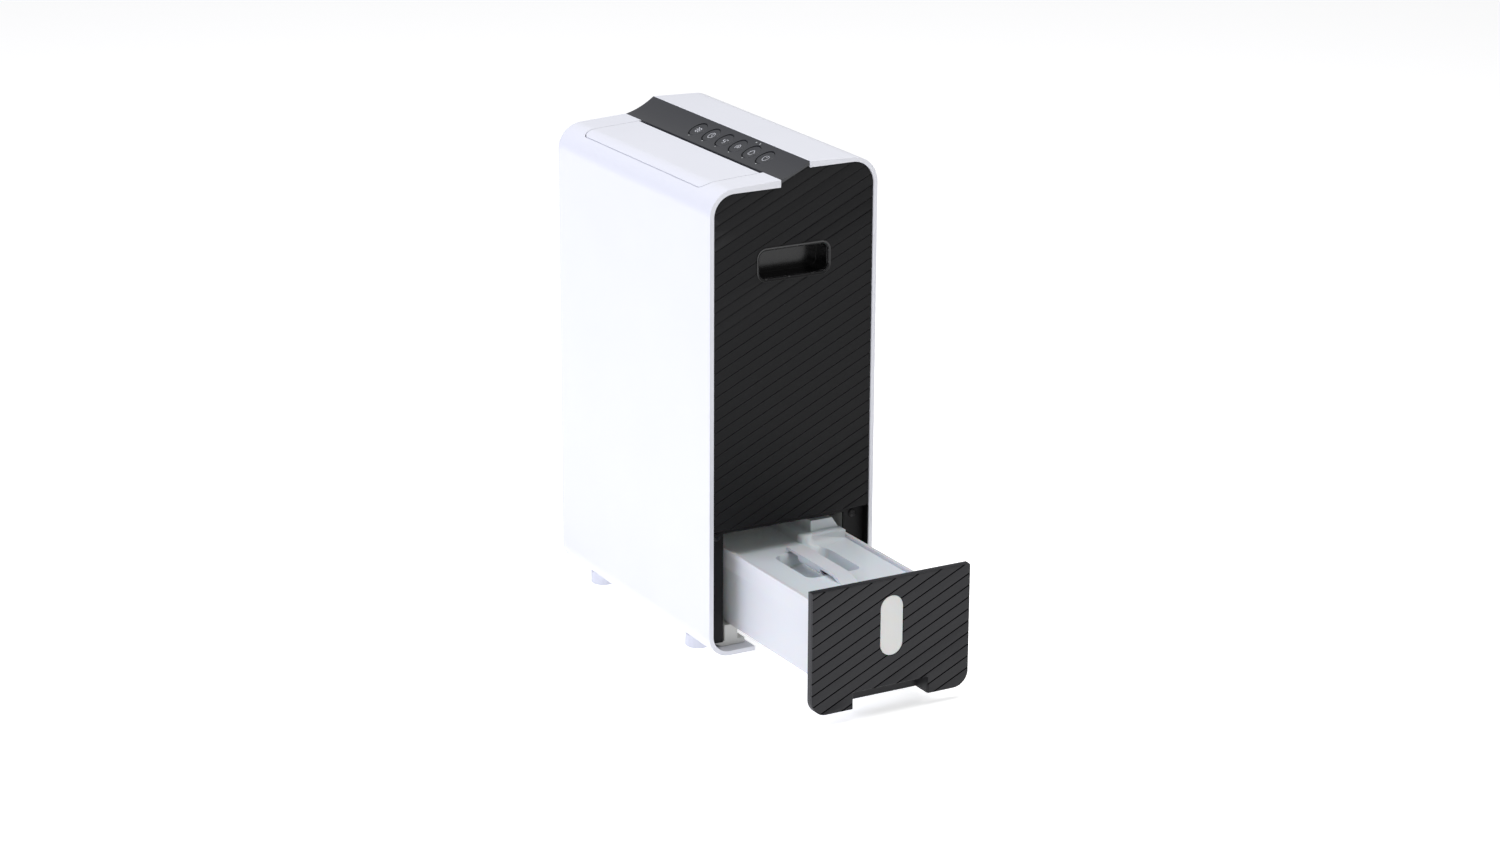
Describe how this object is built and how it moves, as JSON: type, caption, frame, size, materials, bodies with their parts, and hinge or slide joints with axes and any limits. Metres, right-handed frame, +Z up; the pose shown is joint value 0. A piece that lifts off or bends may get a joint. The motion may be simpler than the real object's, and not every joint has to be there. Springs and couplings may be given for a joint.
{
  "type": "portable dehumidifier",
  "caption": "Portable compressor dehumidifier with a drawn-out water tank, slanting-groove side panels, a concave button strip, an outlet flap and a rear filter grille.",
  "frame": {"origin": "on the floor under the middle of the whole part with its tank drawn out", "axes": "+X towards the tank end, -Y the front with the outlet flap, +Z up"},
  "size_m": [0.5486, 0.2, 0.535],
  "materials": {
    "shell_white": "satin moulded ABS, cool white",
    "panel_black": "fine-textured black ABS with slanting grooves",
    "strip_black": "satin dark grey ABS",
    "button_black": "satin dark grey ABS",
    "tank_milky": "milky polypropylene",
    "window_clear": "translucent frosted plastic",
    "liner_white": "white polypropylene",
    "grille_grey": "grey ABS",
    "filter_mesh": "nylon mesh",
    "foot_rubber": "pale rubber",
    "steel_zinc": "zinc-plated steel",
    "screw_black": "blackened steel screws",
    "compressor_black": "black painted steel",
    "coil_aluminium": "aluminium fins",
    "pipe_copper": "copper pipe",
    "board_green": "circuit board",
    "rubber_black": "black rubber",
    "lamp_clear": "light guide",
    "foam_white": "closed-cell foam"
  },
  "bodies": {
    "cabinet": {"air_duct": "liner_white", "base_tray": "liner_white", "bay_liner": "liner_white", "bay_wall": "liner_white", "cable_gland": "rubber_black", "capacitor": "steel_zinc", "compressor": "compressor_black", "compressor_mounts": "rubber_black", "condenser": "coil_aluminium", "control_board": "board_green", "control_panel": "strip_black", "discharge_pipe": "pipe_copper", "drain_spout": "shell_white", "evaporator": "coil_aluminium", "fan_housing": "liner_white", "fan_motor": "steel_zinc", "foot_front_left": "foot_rubber", "foot_front_right": "foot_rubber", "foot_rear_left": "foot_rubber", "foot_rear_right": "foot_rubber", "frame_screws": "screw_black", "front_shell": "shell_white", "handle_cup_left": "panel_black", "handle_cup_right": "panel_black", "humidity_sensor": "liner_white", "indicator_lamps": "lamp_clear", "left_side_panel": "panel_black", "mid_deck": "liner_white", "outlet_grille": "grille_grey", "power_board": "board_green", "rear_shell": "shell_white", "right_side_panel": "panel_black", "suction_pipe": "pipe_copper", "tank_switch": "rubber_black"},
    "louvre": {"louvre_flap": "shell_white"},
    "fan_rotor": {"fan_wheel": "grille_grey"},
    "tank": {"tank_front": "panel_black", "tank_window": "window_clear", "tank_bucket": "tank_milky", "tank_lid": "tank_milky", "tank_handle": "tank_milky", "float_bracket": "tank_milky"},
    "float": {"float_lever": "tank_milky", "float_block": "foam_white", "float_magnet": "steel_zinc"},
    "filter_cover": {"rear_grille": "shell_white", "filter_frame": "grille_grey", "filter_mesh": "filter_mesh"},
    "plug": {"drain_plug": "rubber_black"},
    "button_1_cap": {"button_1": "button_black"},
    "button_2_cap": {"button_2": "button_black"},
    "button_3_cap": {"button_3": "button_black"},
    "button_4_cap": {"button_4": "button_black"},
    "button_5_cap": {"button_5": "button_black"},
    "button_6_cap": {"button_6": "button_black"}
  },
  "joints": [
    {"name": "tank_slide", "type": "slide", "parent": "cabinet", "child": "tank", "axis": [1, 0, 0], "range_m": [-0.2035, 0.1]},
    {"name": "float_hinge", "type": "hinge", "parent": "tank", "child": "float", "pos_m": [0.06925, -0.033, 0.052], "axis": [0, 1, 0], "range_deg": [0, 25]},
    {"name": "louvre_hinge", "type": "hinge", "parent": "cabinet", "child": "louvre", "pos_m": [-0.10175, -0.0245, 0.512], "axis": [-1, 0, 0], "range_deg": [0, 62]},
    {"name": "fan_spin", "type": "hinge", "parent": "cabinet", "child": "fan_rotor", "pos_m": [-0.06175, -0.057, 0.32], "axis": [0, 1, 0], "continuous": true},
    {"name": "filter_pull", "type": "slide", "parent": "cabinet", "child": "filter_cover", "axis": [0, 1, 0], "range_m": [0, 0.06]},
    {"name": "drain_plug_pull", "type": "slide", "parent": "cabinet", "child": "plug", "axis": [0, 1, 0], "range_m": [0, 0.02]},
    {"name": "button_1_press", "type": "slide", "parent": "cabinet", "child": "button_1_cap", "axis": [0, 0.4217, -0.9067], "range_m": [0, 0.0012], "stiffness_N_per_m": 400},
    {"name": "button_2_press", "type": "slide", "parent": "cabinet", "child": "button_2_cap", "axis": [0, 0.4217, -0.9067], "range_m": [0, 0.0012], "stiffness_N_per_m": 400},
    {"name": "button_3_press", "type": "slide", "parent": "cabinet", "child": "button_3_cap", "axis": [0, 0.4217, -0.9067], "range_m": [0, 0.0012], "stiffness_N_per_m": 400},
    {"name": "button_4_press", "type": "slide", "parent": "cabinet", "child": "button_4_cap", "axis": [0, 0.4217, -0.9067], "range_m": [0, 0.0012], "stiffness_N_per_m": 400},
    {"name": "button_5_press", "type": "slide", "parent": "cabinet", "child": "button_5_cap", "axis": [0, 0.4217, -0.9067], "range_m": [0, 0.0012], "stiffness_N_per_m": 400},
    {"name": "button_6_press", "type": "slide", "parent": "cabinet", "child": "button_6_cap", "axis": [0, 0.4217, -0.9067], "range_m": [0, 0.0012], "stiffness_N_per_m": 400}
  ]
}
